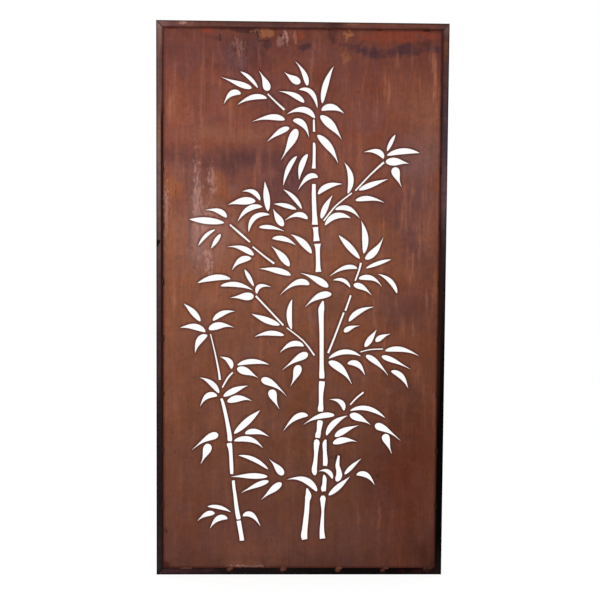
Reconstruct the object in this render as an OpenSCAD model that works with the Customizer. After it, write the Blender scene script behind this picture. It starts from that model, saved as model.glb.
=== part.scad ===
// Garden privacy screen: a rusted sheet with bamboo cut through it, welded into a slim frame of
// square tube. Millimetres. X is the width, Z the height, the front faces -Y. The origin is under
// the middle of the bottom rail.

/* [Screen] */
// Overall width of the frame
screen_width = 940; // [700:10:1400]
// Overall height of the frame
screen_height = 1800; // [1300:10:2600]

/* [Frame tube] */
// Side of the square tube, also the depth of the screen
tube_side = 20; // [16:1:50]
// Wall of the tube
tube_wall = 2; // [1.2:0.1:4]
// Radius of the tube's outside corners
tube_radius = 3; // [2.2:0.1:6]
// Root gap between two mitred ends, which the corner weld fills
mitre_gap = 1.5; // [1:0.1:3]
// Height of a corner weld over the tube's faces
weld_crown = 0.3; // [0.1:0.1:1]

/* [Sheet] */
// Thickness of the cut sheet
sheet_thickness = 2; // [1.5:0.1:5]
// Depth of the sheet's front face behind the front of the frame
sheet_recess = 6; // [5:0.5:8]
// Gap between the sheet's edge and the tube on each side
sheet_clearance = 0.5; // [0.2:0.1:1]

/* [Stitch welds] */
// Leg of a stitch weld on the sheet
stitch_leg = 6; // [3:0.5:10]
// Length of a stitch weld on a stile
stitch_length = 22; // [10:1:60]
// Height of the lowest stitch weld on a stile
first_stitch = 230; // [60:5:400]
// Distance from one stitch weld on a stile to the next
stitch_pitch = 183.5; // [80:0.5:400]
// Least distance from the highest stitch weld on a stile to the top rail
stitch_end = 100; // [40:5:300]

/* [Pattern] */
// Width of the screen on which the bamboo is laid out, so a larger number draws it smaller
layout_width = 940; // [880:10:1400]
// Height of the screen on which the bamboo is laid out
layout_height = 1800; // [1700:10:2600]
// Width left at the tip of a leaf
leaf_tip = 3.2; // [1:0.1:5]
// Steps along each side of a leaf
leaf_steps = 18; // [6:1:24]

/* [Hidden] */
$fn = 32;

// The cuts run this far past both faces of the sheet
cut_over = 1;
half_width = screen_width / 2;
front_face = -tube_side / 2;
sheet_front = front_face + sheet_recess;
sheet_back = sheet_front + sheet_thickness;
opening_width = screen_width - 2 * tube_side;
opening_height = screen_height - 2 * tube_side;
stitch_rise = sheet_recess - tube_radius;
stitch_facets = 6;
cane_steps = 3;
// How the width of a leaf swells and tapers: the belly of a drop-shaped leaf and of an even one,
// then the powers towards the base and towards the tip, with what each gains as the belly shifts
drop_belly = 0.25;
even_belly = 0.5;
base_power = 0.5;
base_gain = 0.6;
tail_power = 1;
tail_gain = 7;
// The bamboo keeps its proportions and follows the smaller side of the screen
art_scale = min(screen_width / layout_width, screen_height / layout_height);
// Places of the stitch welds along the bottom rail, from its middle, with their lengths
bottom_stitches = [[-373, 40], [-226, 20], [-51, 20], [131, 22], [286, 20], [425, 34]];
// Places of the stitch welds along the top rail
top_stitches = [[-420, 30], [-262, 20], [-96, 22], [78, 20], [240, 22], [396, 24]];

rust = [0.46, 0.27, 0.2];
dark_rust = [0.3, 0.18, 0.15];
bead_brown = [0.25, 0.19, 0.18];

// A leaf: the middle of its round end, a point half way along its curved midrib, its tip, its
// greatest width, and how far along the midrib that width lies
leaves = [
    // Crown of the main cane
    [[-200, 1570], [-229, 1571], [-254, 1537], 19, 0.38],
    [[-165, 1589], [-213, 1605], [-262, 1623], 18, 0.28],
    [[-145, 1590], [-171, 1621], [-201, 1641], 11.5, 0.5],
    [[-113, 1581], [-123, 1613], [-142, 1645], 24, 0.22],
    [[-116, 1557], [-161, 1560], [-211, 1535], 17, 0.4],
    [[-9, 1607], [-36, 1623], [-60, 1641], 24, 0.27],
    [[14, 1599], [2, 1640], [-26, 1676], 16, 0.3],
    [[63, 1543], [73, 1602], [98, 1661], 18, 0.45],
    [[-12, 1586], [27, 1577], [47, 1528], 15, 0.5],
    [[4, 1545], [-30, 1569], [-78, 1580], 17, 0.35],
    [[39, 1495], [2, 1522], [-51, 1507], 19.5, 0.42],
    [[61, 1520], [94, 1531], [134, 1511], 21, 0.42],
    [[-58, 1489], [-104, 1497], [-162, 1482], 19, 0.35],
    [[-31, 1487], [2, 1475], [21, 1433], 20, 0.36],
    [[-43, 1463], [-74, 1450], [-114, 1419], 18, 0.37],
    [[-19, 1460], [-41, 1411], [-69, 1360], 27, 0.25],
    [[57, 1503], [95, 1470], [127, 1428], 26, 0.35],
    [[48, 1441], [90, 1399], [116, 1350], 23, 0.33],
    [[17, 1380], [-2, 1343], [-10, 1297], 18, 0.45],
    [[50, 1305], [20, 1306], [-13, 1264], 17.5, 0.4],
    [[52, 1251], [82, 1277], [130, 1285], 18, 0.45],
    [[148, 1255], [157, 1306], [136, 1354], 18, 0.45],
    [[-18, 1373], [-45, 1333], [-61, 1278], 14.5, 0.45],
    // Upper twig on the right
    [[274, 1392], [286, 1419], [300, 1445], 12, 0.5],
    [[274, 1378], [324, 1392], [379, 1387], 19, 0.5],
    [[262, 1368], [242, 1390], [199, 1388], 18, 0.4],
    [[270, 1357], [309, 1358], [346, 1352], 25, 0.32],
    [[299, 1340], [308, 1309], [323, 1276], 27, 0.22],
    [[184, 1266], [229, 1285], [278, 1302], 17, 0.4],
    [[174, 1232], [219, 1239], [267, 1226], 16, 0.35],
    [[108, 1202], [150, 1206], [187, 1175], 16, 0.42],
    [[75, 1151], [111, 1182], [158, 1175], 19, 0.5],
    [[63, 1173], [77, 1211], [99, 1249], 18, 0.4],
    // Upper leaves on the left
    [[-110, 1196], [-115, 1243], [-121, 1291], 20, 0.45],
    [[-136, 1230], [-158, 1257], [-193, 1258], 15, 0.42],
    [[-151, 1227], [-194, 1227], [-240, 1215], 24, 0.38],
    [[-129, 1209], [-173, 1202], [-208, 1161], 17, 0.42],
    [[-105, 1184], [-153, 1175], [-172, 1128], 16, 0.5],
    [[-60, 1148], [-78, 1174], [-94, 1203], 22, 0.35],
    [[-138, 1143], [-98, 1143], [-57, 1131], 13, 0.35],
    [[-95, 1107], [-57, 1106], [-19, 1086], 16, 0.42],
    [[-19, 1202], [-54, 1214], [-91, 1219], 14, 0.45],
    [[-1, 1204], [-27, 1240], [-61, 1266], 13, 0.45],
    [[18, 1171], [-13, 1185], [-55, 1166], 17, 0.35],
    [[32, 1060], [2, 1096], [-35, 1121], 20, 0.42],
    [[-244, 1174], [-271, 1195], [-313, 1197], 17, 0.35],
    [[-252, 1157], [-307, 1163], [-364, 1167], 21, 0.5],
    [[-281, 1134], [-310, 1115], [-335, 1082], 10.5, 0.5],
    [[-263, 1120], [-278, 1098], [-294, 1073], 13.5, 0.45],
    [[-156, 1053], [-196, 1076], [-240, 1079], 18, 0.3],
    [[-164, 1042], [-200, 1034], [-226, 1003], 20, 0.35],
    [[-40, 1018], [-67, 1053], [-98, 1082], 22, 0.35],
    [[-35, 989], [-82, 1004], [-137, 1009], 19, 0.4],
    [[25, 958], [-16, 964], [-69, 924], 20, 0.32],
    [[87, 951], [44, 978], [-4, 996], 22, 0.28],
    [[98, 927], [53, 918], [12, 884], 22, 0.3],
    // Middle leaves on the left
    [[-231, 975], [-281, 979], [-337, 961], 19, 0.5],
    [[-262, 952], [-210, 957], [-158, 939], 16, 0.45],
    [[-155, 919], [-190, 918], [-231, 914], 25, 0.3],
    [[-155, 952], [-170, 980], [-185, 1006], 13, 0.55],
    [[-145, 928], [-135, 952], [-99, 950], 14, 0.4],
    [[-70, 826], [-114, 842], [-162, 862], 20, 0.45],
    [[-31, 812], [-39, 861], [-30, 910], 17, 0.5],
    [[-56, 792], [-104, 799], [-151, 787], 16, 0.4],
    [[9, 757], [-29, 764], [-69, 735], 18, 0.4],
    [[23, 731], [-14, 714], [-62, 677], 24, 0.25],
    [[-7, 695], [-16, 662], [-34, 624], 26, 0.25],
    // Middle leaves on the right
    [[202, 1061], [206, 1113], [193, 1166], 20, 0.45],
    [[207, 1043], [241, 1072], [265, 1114], 22, 0.32],
    [[189, 1044], [156, 1081], [120, 1119], 19, 0.5],
    [[181, 1012], [140, 1014], [91, 985], 14, 0.35],
    [[159, 950], [136, 973], [103, 973], 11.5, 0.5],
    [[187, 979], [230, 980], [262, 953], 17, 0.3],
    [[170, 958], [201, 949], [229, 925], 19, 0.28],
    [[210, 1013], [249, 1029], [291, 1042], 12.5, 0.5],
    [[312, 932], [290, 971], [250, 994], 14.5, 0.45],
    [[156, 839], [188, 871], [237, 887], 17, 0.4],
    [[141, 804], [161, 818], [191, 825], 16, 0.3],
    [[91, 717], [143, 739], [196, 725], 16, 0.5],
    [[91, 706], [134, 680], [168, 632], 25, 0.32],
    [[153, 700], [186, 698], [210, 662], 19, 0.4],
    [[209, 756], [227, 782], [247, 813], 18.5, 0.4],
    [[245, 773], [263, 788], [292, 799], 17, 0.35],
    [[276, 743], [329, 748], [386, 727], 17, 0.37],
    [[265, 725], [310, 708], [359, 683], 17, 0.25],
    [[213, 727], [251, 702], [287, 661], 18, 0.27],
    [[296, 676], [330, 659], [352, 620], 18, 0.4],
    // Leaves of the thin cane on the left
    [[-328, 837], [-353, 868], [-382, 894], 18, 0.42],
    [[-287, 839], [-256, 863], [-216, 870], 17, 0.4],
    [[-312, 802], [-347, 819], [-394, 815], 20, 0.42],
    [[-300, 810], [-262, 824], [-219, 817], 23, 0.33],
    [[-305, 790], [-331, 774], [-345, 733], 21, 0.42],
    [[-227, 682], [-234, 707], [-264, 721], 17, 0.42],
    [[-207, 694], [-158, 706], [-103, 696], 17, 0.45],
    [[-208, 682], [-173, 671], [-139, 652], 25, 0.3],
    [[-129, 647], [-86, 629], [-45, 592], 24, 0.2],
    [[-96, 614], [-86, 583], [-69, 549], 27, 0.22],
    [[-267, 602], [-293, 635], [-330, 653], 17, 0.38],
    [[-273, 592], [-304, 592], [-328, 558], 19, 0.38],
    [[-252, 591], [-212, 613], [-172, 627], 19, 0.38],
    [[-239, 573], [-197, 585], [-159, 576], 22, 0.32],
    [[-217, 468], [-178, 505], [-133, 545], 21, 0.5],
    [[-181, 468], [-145, 475], [-102, 458], 18.5, 0.38],
    [[-217, 444], [-165, 449], [-122, 420], 18.5, 0.4],
    [[-269, 464], [-308, 450], [-355, 413], 24, 0.22],
    [[-299, 434], [-311, 401], [-326, 367], 27, 0.22],
    [[-107, 326], [-165, 328], [-229, 325], 18.5, 0.38],
    [[-105, 350], [-152, 383], [-203, 396], 14, 0.5],
    [[-56, 331], [-77, 359], [-103, 385], 23, 0.25],
    [[-103, 311], [-147, 295], [-195, 271], 17, 0.3],
    [[-61, 305], [-96, 277], [-128, 248], 22, 0.25],
    [[-303, 226], [-263, 223], [-226, 207], 13, 0.45],
    [[-280, 203], [-307, 200], [-336, 178], 17, 0.35],
    [[-238, 185], [-268, 186], [-295, 153], 19, 0.4],
    [[-187, 194], [-158, 198], [-129, 159], 18, 0.4],
    // Lower leaves of the two canes in the middle
    [[56, 277], [14, 316], [-45, 315], 21, 0.36],
    [[24, 528], [-15, 522], [-56, 477], 19, 0.35],
    [[111, 530], [59, 525], [10, 498], 18, 0.3],
    [[86, 463], [110, 503], [155, 529], 19, 0.45],
    [[114, 459], [148, 481], [193, 497], 20, 0.35],
    [[108, 436], [146, 448], [187, 442], 21, 0.33],
    [[142, 546], [131, 574], [94, 582], 16, 0.38],
    [[163, 545], [219, 553], [278, 522], 15.5, 0.5],
    [[162, 531], [193, 521], [231, 499], 24, 0.35],
    [[245, 497], [286, 480], [330, 446], 24, 0.18],
    [[277, 468], [288, 437], [302, 402], 25, 0.2],
    [[107, 319], [91, 344], [61, 344], 14, 0.4],
    [[147, 334], [172, 361], [202, 387], 13.5, 0.38],
    [[186, 332], [218, 332], [246, 299], 18, 0.4],
    [[95, 264], [130, 295], [165, 327], 18, 0.4]
];

// A piece of cane or twig: places along its middle from the top down, each with the width there
canes = [
    // Main cane
    [[36, 1491, 5], [37, 1452, 7]],
    [[36, 1417, 4], [38, 1407, 8.5], [38, 1360, 9], [37, 1334, 12]],
    [[38, 1284, 11], [38, 1250, 13], [40, 1200, 14], [42, 1168, 16.5], [42, 1153, 19]],
    [[44, 1145, 17.5], [46, 1125, 15], [48, 1100, 20]],
    [[51, 1091, 21.5], [52, 1075, 14.5], [53, 1045, 13], [54, 1015, 14.5], [55, 1000, 18.5]],
    [[71, 905, 5], [66, 882, 18], [65, 860, 16.5], [67, 800, 13.5], [68, 700, 13], [69, 662, 17],
        [69, 651, 14]],
    [[70, 642, 18], [69, 630, 18.5], [67, 600, 14], [67, 570, 13.5], [66, 552, 18], [66, 542, 14]],
    [[65, 513, 12], [64, 505, 18.5], [61, 480, 14], [58, 465, 17], [57, 455, 15]],
    [[50, 449, 9], [54, 440, 18.5], [53, 425, 16], [52, 400, 12], [50, 375, 13], [47, 352, 16.5],
        [48, 340, 15], [49, 331, 6]],
    [[23, 287, 4], [28, 266, 18], [27, 256, 19], [25, 244, 15], [23, 210, 15.5], [20, 180, 16.5],
        [17, 150, 17.5], [15, 130, 20.5], [17, 116, 17]],
    // Second cane beside it
    [[84, 449, 5], [80, 436, 13], [81, 410, 12], [83, 378, 15], [82, 362, 13]],
    [[78, 332, 4], [81, 320, 12.5], [80, 300, 13], [78, 287, 16.5], [79, 277, 12]],
    [[76, 263, 8], [76, 254, 18], [76, 240, 14.5], [76, 215, 9], [76, 203, 8.5], [74, 165, 12.5],
        [74, 140, 15], [76, 119, 18]],
    // Thin cane on the left
    [[-259, 584, 7], [-252, 562, 10], [-242, 518, 11], [-233, 470, 13.5], [-231, 450, 14.5],
        [-231, 443, 11]],
    [[-233, 437, 14], [-232, 431, 16.5], [-228, 408, 11.5], [-225, 355, 11.5], [-224, 334, 9]],
    [[-219, 313, 9], [-217, 290, 9.5], [-213, 262, 10.5], [-207, 215, 13], [-202, 189, 14],
        [-201, 183, 10]],
    [[-201, 179, 14], [-199, 168, 14], [-195, 145, 13.5], [-191, 122, 14], [-190, 112, 14.5]],
    // Twigs
    [[-113, 1571, 4], [-86, 1545, 5], [-59, 1521, 6.5]],
    [[264, 1356, 6.5], [220, 1315, 4.5], [173, 1264, 4.5]],
    [[161, 1256, 4], [119, 1223, 4], [98, 1201, 4.5], [71, 1166, 4.5]],
    [[-233, 1151, 4], [-198, 1121, 6.5], [-168, 1095, 4.5]],
    [[-159, 1080, 4.5], [-119, 1048, 5], [-89, 1026, 6]],
    [[193, 1030, 6.5], [187, 1005, 5.5], [175, 972, 4.5]],
    [[-148, 920, 5.5], [-105, 875, 5], [-58, 825, 5.5]],
    [[161, 924, 5.5], [153, 900, 5.5], [144, 874, 6]],
    [[139, 868, 5.5], [109, 786, 5.5], [89, 735, 6.5]],
    [[-295, 795, 3.5], [-281, 738, 4], [-268, 675, 6], [-264, 645, 7]],
    [[-222, 670, 4.5], [-238, 652, 5.5], [-256, 620, 4]],
    [[-47, 817, 3.5], [8, 774, 4], [44, 727, 5]],
    [[195, 739, 3], [227, 747, 3.5], [268, 749, 3.5]],
    [[206, 606, 5.5], [184, 588, 5], [163, 565, 4]],
    // Young leaf with a double bend
    [[127, 396, 6], [123, 365, 12.5], [127, 348, 15], [129, 331, 19.5], [124, 318, 17], [120, 311, 6]]
];

// Left-hand normal of a direction
function normal(d) = [-d[1], d[0]] / norm(d);

// Midrib of a leaf: the curve through its base, its middle and its tip
function midrib_pull(l) = 2 * l[1] - (l[0] + l[2]) / 2;
function midrib(l, t) = (1 - t) * (1 - t) * l[0] + 2 * t * (1 - t) * midrib_pull(l) + t * t * l[2];
function midrib_way(l, t) = (1 - t) * (midrib_pull(l) - l[0]) + t * (l[2] - midrib_pull(l));

// Half width of a leaf: an ellipse up to the belly, then a taper that is leaner on a drop-shaped
// leaf, whose belly lies near its base
function base_round(belly) = base_power + base_gain * max(0, belly - drop_belly);
function tail_taper(belly) = tail_power + tail_gain * max(0, even_belly - belly);
function leaf_half(l, t) =
    let (belly = l[4], u = t < belly ? 1 - t / belly : (t - belly) / (1 - belly))
    t < belly ? l[3] / 2 * pow(max(0, 1 - u * u), base_round(belly))
    : (l[3] - leaf_tip) / 2 * pow(max(0, cos(90 * u)), tail_taper(belly))
        + leaf_tip / 2 * sqrt(max(0, 1 - u * u));

// Places along a leaf, closer together at both ends
function leaf_place(i) = (1 - cos(180 * i / leaf_steps)) / 2;
function leaf_side(l, t, side) = midrib(l, t) + side * leaf_half(l, t) * normal(midrib_way(l, t));
function leaf_outline(l) = concat(
    [for (i = [0 : leaf_steps]) leaf_side(l, leaf_place(i), 1)],
    [for (i = [leaf_steps - 1 : -1 : 1]) leaf_side(l, leaf_place(i), -1)]);

// A smooth line through the places of a cane, which carries the width along with the position
function spline(a, b, c, d, u) =
    (2 * b + (c - a) * u + (2 * a - 5 * b + 4 * c - d) * u * u
    + (3 * b - a - 3 * c + d) * u * u * u) / 2;
function cane_line(c) =
    let (last = len(c) - 1)
    concat([for (i = [0 : last - 1], k = [0 : cane_steps - 1])
        spline(c[max(0, i - 1)], c[i], c[i + 1], c[min(last, i + 2)], k / cane_steps)], [c[last]]);
function flat(p) = [p[0], p[1]];
function line_way(q, i) = flat(q[min(len(q) - 1, i + 1)]) - flat(q[max(0, i - 1)]);
function cane_side(q, i, side) = flat(q[i]) + side * q[i][2] / 2 * normal(line_way(q, i));
function cane_outline(c) =
    let (q = cane_line(c), last = len(q) - 1)
    concat([for (i = [0 : last]) cane_side(q, i, 1)], [for (i = [last : -1 : 0]) cane_side(q, i, -1)]);

// Puts an outline from the layout onto this screen, about the middle of both
function placed(outline) =
    [for (p = outline) [p[0], p[1] - layout_height / 2] * art_scale + [0, screen_height / 2]];

// Stands a flat shape of the XZ plane up, from y0 back to y1
module upright(y0, y1) {
    translate([0, y1, 0]) rotate([90, 0, 0]) linear_extrude(y1 - y0) children();
}

// The sheet, with every leaf and cane cut through it
module screen_sheet() {
    sheet_width = opening_width - 2 * sheet_clearance;
    sheet_height = opening_height - 2 * sheet_clearance;
    color(rust) difference() {
        translate([-sheet_width / 2, sheet_front, tube_side + sheet_clearance])
            cube([sheet_width, sheet_thickness, sheet_height]);
        for (l = leaves) upright(sheet_front - cut_over, sheet_back + cut_over)
            polygon(placed(leaf_outline(l)));
        for (c = canes) upright(sheet_front - cut_over, sheet_back + cut_over)
            polygon(placed(cane_outline(c)));
    }
}

// A square with round corners, centred
module round_square(side, radius) {
    inner = side - 2 * radius;
    square([side, inner], center = true);
    square([inner, side], center = true);
    for (x = [-1, 1], y = [-1, 1]) translate([x * inner / 2, y * inner / 2]) circle(radius);
}

// A bar along X, from -length/2 to length/2, whose outer face lies at z = 0 and which grows by
// swell on every side
module bar(length, swell) {
    translate([-length / 2, 0, -tube_side / 2]) rotate([90, 0, 90]) linear_extrude(length)
        round_square(tube_side + 2 * swell, tube_radius + swell);
}

// The bore of such a bar, longer by cut_over at both ends
module bore(length) {
    translate([-length / 2 - cut_over, 0, -tube_side / 2]) rotate([90, 0, 90])
        linear_extrude(length + 2 * cut_over)
        round_square(tube_side - 2 * tube_wall, tube_radius - tube_wall);
}

// A tube along X with both ends mitred, half a mitre gap short of the joint
module mitred_tube(length) {
    half = length / 2;
    shorter = mitre_gap / sqrt(2);
    color(dark_rust) intersection() {
        difference() {
            bar(length, 0);
            bore(length);
        }
        upright(-tube_side, tube_side) polygon([
            [-half - cut_over + shorter, cut_over], [half + cut_over - shorter, cut_over],
            [half - tube_side - cut_over - shorter, -tube_side - cut_over],
            [-half + tube_side + cut_over + shorter, -tube_side - cut_over]]);
    }
}

// Moves a piece of the top rail to each side of the frame
module on_top() { translate([0, 0, screen_height]) children(); }
module on_bottom() { rotate([0, 180, 0]) children(); }
module on_left() { translate([-half_width, 0, screen_height / 2]) rotate([0, -90, 0]) children(); }
module on_right() { translate([half_width, 0, screen_height / 2]) rotate([0, 90, 0]) children(); }

// A corner weld: the slab of metal between two mitred ends, proud of the tube in front, behind and
// inside the corner, and flush with its outer faces
module corner_weld(x_side, z_side) {
    corner = [x_side * half_width, 0, screen_height / 2 + z_side * screen_height / 2];
    reach = 2 * tube_side;
    color(bead_brown) intersection() {
        translate([0, 0, screen_height / 2]) cube([screen_width, reach, screen_height], center = true);
        translate(corner) rotate([0, -45 * x_side * z_side, 0])
            cube([2 * reach, reach, mitre_gap], center = true);
        difference() {
            translate(corner) union() {
                translate([-x_side * reach / 2 + x_side * weld_crown, 0, 0])
                    rotate([0, z_side > 0 ? 0 : 180, 0]) bar(reach, weld_crown);
                translate([0, 0, -z_side * reach / 2 + z_side * weld_crown])
                    rotate([0, x_side * 90, 0]) bar(reach, weld_crown);
            }
            translate(corner) union() {
                translate([-x_side * (reach + tube_wall), 0, 0])
                    rotate([0, z_side > 0 ? 0 : 180, 0]) bore(2 * reach);
                translate([0, 0, -z_side * (reach + tube_wall)])
                    rotate([0, x_side * 90, 0]) bore(2 * reach);
            }
        }
    }
}

// A row of stitch welds along the inner edge of the top rail, each a rounded fillet between the
// sheet's front and the tube's inner face
module stitch_row(stitches) {
    bead = concat([[0, 0]], [for (i = [0 : stitch_facets])
        let (a = 90 * i / stitch_facets) [-stitch_rise * sin(a), -stitch_leg * cos(a)]]);
    color(bead_brown) for (s = stitches) translate([s[0] - s[1] / 2, sheet_front, -tube_side])
        rotate([90, 0, 90]) linear_extrude(s[1]) polygon(bead);
}

function spread(stitches) = [for (s = stitches) [s[0] * screen_width / layout_width, s[1]]];
function spread_mirrored(stitches) = [for (s = spread(stitches)) [-s[0], s[1]]];
stile_row = [for (z = [first_stitch : stitch_pitch : screen_height - tube_side - stitch_end])
    [z - screen_height / 2, stitch_length]];
stile_row_mirrored = [for (s = stile_row) [-s[0], s[1]]];

module frame_rail_top() { on_top() mitred_tube(screen_width); }
module frame_rail_bottom() { on_bottom() mitred_tube(screen_width); }
module frame_stile_left() { on_left() mitred_tube(screen_height); }
module frame_stile_right() { on_right() mitred_tube(screen_height); }
module corner_weld_top_left() { corner_weld(-1, 1); }
module corner_weld_top_right() { corner_weld(1, 1); }
module corner_weld_bottom_left() { corner_weld(-1, -1); }
module corner_weld_bottom_right() { corner_weld(1, -1); }
module stitch_welds_top() { on_top() stitch_row(spread(top_stitches)); }
module stitch_welds_bottom() { on_bottom() stitch_row(spread_mirrored(bottom_stitches)); }
module stitch_welds_left() { on_left() stitch_row(stile_row); }
module stitch_welds_right() { on_right() stitch_row(stile_row_mirrored); }

screen_sheet();
frame_rail_top();
frame_rail_bottom();
frame_stile_left();
frame_stile_right();
corner_weld_top_left();
corner_weld_top_right();
corner_weld_bottom_left();
corner_weld_bottom_right();
stitch_welds_top();
stitch_welds_bottom();
stitch_welds_left();
stitch_welds_right();
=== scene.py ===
import math
import random
from collections import namedtuple

import bmesh
import bpy
from mathutils import Matrix, Vector


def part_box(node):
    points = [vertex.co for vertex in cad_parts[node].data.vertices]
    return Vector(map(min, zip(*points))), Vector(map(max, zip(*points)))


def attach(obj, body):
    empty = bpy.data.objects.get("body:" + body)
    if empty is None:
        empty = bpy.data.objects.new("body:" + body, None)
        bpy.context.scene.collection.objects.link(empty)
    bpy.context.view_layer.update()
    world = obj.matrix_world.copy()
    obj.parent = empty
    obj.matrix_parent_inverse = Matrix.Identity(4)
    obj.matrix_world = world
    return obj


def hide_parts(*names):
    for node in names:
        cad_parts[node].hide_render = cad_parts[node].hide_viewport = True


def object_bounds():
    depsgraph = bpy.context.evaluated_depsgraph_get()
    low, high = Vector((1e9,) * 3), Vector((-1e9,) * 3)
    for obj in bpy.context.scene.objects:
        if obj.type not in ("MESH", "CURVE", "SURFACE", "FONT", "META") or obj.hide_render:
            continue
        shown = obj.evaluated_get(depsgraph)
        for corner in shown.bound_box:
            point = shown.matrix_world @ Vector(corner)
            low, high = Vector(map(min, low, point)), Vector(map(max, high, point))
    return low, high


bl_info = {
    "name": "Rusted Garden Screen",
    "version": (1, 0, 0),
    "blender": (4, 5, 0),
    "location": "3D View > Sidebar > Screen",
    "description": "Finishes a cut steel garden screen: welded tube frame, weld beads, rust and a plain studio",
    "category": "Object",
}

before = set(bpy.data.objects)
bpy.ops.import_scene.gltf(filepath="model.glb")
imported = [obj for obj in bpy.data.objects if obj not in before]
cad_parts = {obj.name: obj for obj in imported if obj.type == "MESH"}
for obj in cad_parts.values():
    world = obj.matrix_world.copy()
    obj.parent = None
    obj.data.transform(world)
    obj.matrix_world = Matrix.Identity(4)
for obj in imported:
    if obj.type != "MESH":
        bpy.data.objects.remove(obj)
CAD_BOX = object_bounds()

MM = 0.001
SAME_PLACE = 0.01 * MM
CUT_TOLERANCE = SAME_PLACE / 10
X_AXIS = Vector((1, 0, 0))
Y_AXIS = Vector((0, 1, 0))
Z_AXIS = Vector((0, 0, 1))

SHEET_LOW, SHEET_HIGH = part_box("screen_sheet")
STILE_LOW, STILE_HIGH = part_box("frame_stile_left")
TUBE_SIDE = STILE_HIGH.x - STILE_LOW.x
HALF_TUBE = TUBE_SIDE / 2
HALF_WIDTH = -STILE_LOW.x
SCREEN_HEIGHT = CAD_BOX[1].z - CAD_BOX[0].z
SIDES = {"top": Z_AXIS, "bottom": -Z_AXIS, "left": -X_AXIS, "right": X_AXIS}
NEARLY_PARALLEL = 0.9

# A weld bead: how small its tip and its least lump are beside its middle, how a ripple bows, how deep it goes into
# the sheet, and how many corner radii a mitre's bead begins from the screen's corner
BEAD_TIP = 0.25
BEAD_TAPER = 4.5 * MM
LEAST_LUMP = 0.9
FEWEST_RIPPLES = 4
CRESCENT = 0.5
BEAD_SINK = 0.3 * MM
BEAD_INSET = 1.2
STITCH_GAP = TUBE_SIDE * 2
SEAM_PITCH = 9 * MM
SEAM_OVERRUN = TUBE_SIDE / 5
CAP_SIDES = 6

# The floor as scattered light meets it, so that it lights the screen from below as in the open
FLOOR_BOUNCE = 0.3
FLOOR_GLOW = 0.82

CORNER_SIGNS = {
    "corner_weld_top_left": (-1, 1),
    "corner_weld_top_right": (1, 1),
    "corner_weld_bottom_left": (-1, -1),
    "corner_weld_bottom_right": (1, -1),
}


def paint(red, green, blue):
    """A colour as it looks on a screen, from 0 to 255, turned into the linear light that shaders use."""
    parts = [value / 255 for value in (red, green, blue)]
    return tuple(p / 12.92 if p <= 0.04045 else ((p + 0.055) / 1.055) ** 2.4 for p in parts)


# ---- settings


def colour_setting(name, description, *screen_colour):
    return bpy.props.FloatVectorProperty(
        name=name, description=description, default=paint(*screen_colour), size=3, min=0, max=1, subtype="COLOR")


def length_setting(name, description, default):
    return bpy.props.FloatProperty(
        name=name, description=description, default=default, min=0, soft_max=0.1, unit="LENGTH")


def share_setting(name, description, default, top=1.0):
    return bpy.props.FloatProperty(
        name=name, description=description, default=default, min=0, max=top, subtype="FACTOR")


class ScreenSizes(bpy.types.PropertyGroup):
    tube_wall: length_setting("Tube wall", "Thickness of the square tube's wall", 2 * MM)
    tube_radius: length_setting("Tube corner", "Outside corner radius of the square tube", 3 * MM)
    tube_steps: bpy.props.IntProperty(
        name="Corner steps", description="Faces round each tube corner", default=8, min=2, max=24)
    mitre_gap: length_setting("Mitre gap", "Root gap left for the weld between two mitred tubes", 1.5 * MM)
    corner_bead: length_setting("Corner bead", "Width of the dressed weld over each mitre", 5.2 * MM)
    ripple_pitch: length_setting("Ripple pitch", "Distance from one weld ripple to the next", 2.5 * MM)
    ripple_depth: share_setting("Ripple depth", "How far a bead narrows between two ripples", 0.04)
    seam_reach: length_setting("Seam rust", "Radius of the rust packed between the sheet and a tube", 0.95 * MM)
    stitch_lap: length_setting("Stitch lap", "How far a stitch bead reaches over the tube", 3 * MM)
    stitch_rise: length_setting("Stitch rise", "Height of a stitch bead over the sheet", 6.2 * MM)


class RustColours(bpy.types.PropertyGroup):
    orange: colour_setting("Orange rust", "Fresh, dry rust in runs and blooms", 168, 98, 58)
    brown: colour_setting("Brown rust", "Settled warm brown rust", 148, 86, 54)
    red: colour_setting("Red rust", "Red-brown rust on the sheltered side", 112, 54, 38)
    pale: colour_setting("Pale bloom", "Chalky salts dried in the runs", 188, 140, 128)
    violet: colour_setting("Violet scale", "Blue-violet film of mill scale", 92, 58, 64)
    grey: colour_setting("Grey scale", "Greyish mill scale worn thin", 124, 94, 92)
    dark: colour_setting("Dark scale", "Unbroken dark mill scale and damp dirt", 50, 30, 32)
    soot: colour_setting("Cut edge", "Burnt oxide left by the laser along each cut", 76, 28, 22)
    fire: colour_setting("Bright rust", "Wet red rust under the top rail", 150, 66, 42)
    tan: colour_setting("Tan bloom", "Dry yellow-brown bloom", 168, 104, 66)
    clay: colour_setting("Clay bloom", "Pinkish brown where rust has dried evenly", 152, 96, 74)
    dried: colour_setting("Dried run", "Rust left by a run that has dried", 166, 104, 78)
    tide: colour_setting("Tide line", "Dark violet scale at the edge of old water", 78, 46, 50)
    # Painted shade as well as rust: this red-brown darkens the stiles' inner sides, the sheet along the tubes and the
    # sheet's right side lower down, and on the welds it makes patches of darker rust
    sheltered: colour_setting("Sheltered side", "Red-brown on the tube's inner corner", 54, 27, 20)
    black: colour_setting("Black scale", "Near-black scale in a pit or a deep corner", 16, 8, 8)
    # Also painted shade: a large stain of it darkens the sheet's lower right
    deep: colour_setting("Deep rust", "Deep red-brown rust low on the sheltered side", 96, 40, 20)


class StageSettings(bpy.types.PropertyGroup):
    floor_side: length_setting("Floor side", "Side of the square floor", 9.0)
    floor_tone: share_setting("Floor tone", "How pale the floor is", 0.78)
    sky_light: share_setting("Sky light", "Strength of the even light all round", 0.66, 4)
    key_light: bpy.props.FloatProperty(
        name="Key light", description="Power of the large lamp at the upper left", default=40, min=0, unit="POWER")
    fill_light: bpy.props.FloatProperty(
        name="Fill light", description="Power of the large lamp at the right", default=14, min=0, unit="POWER")


# ---- node drawing


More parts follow.
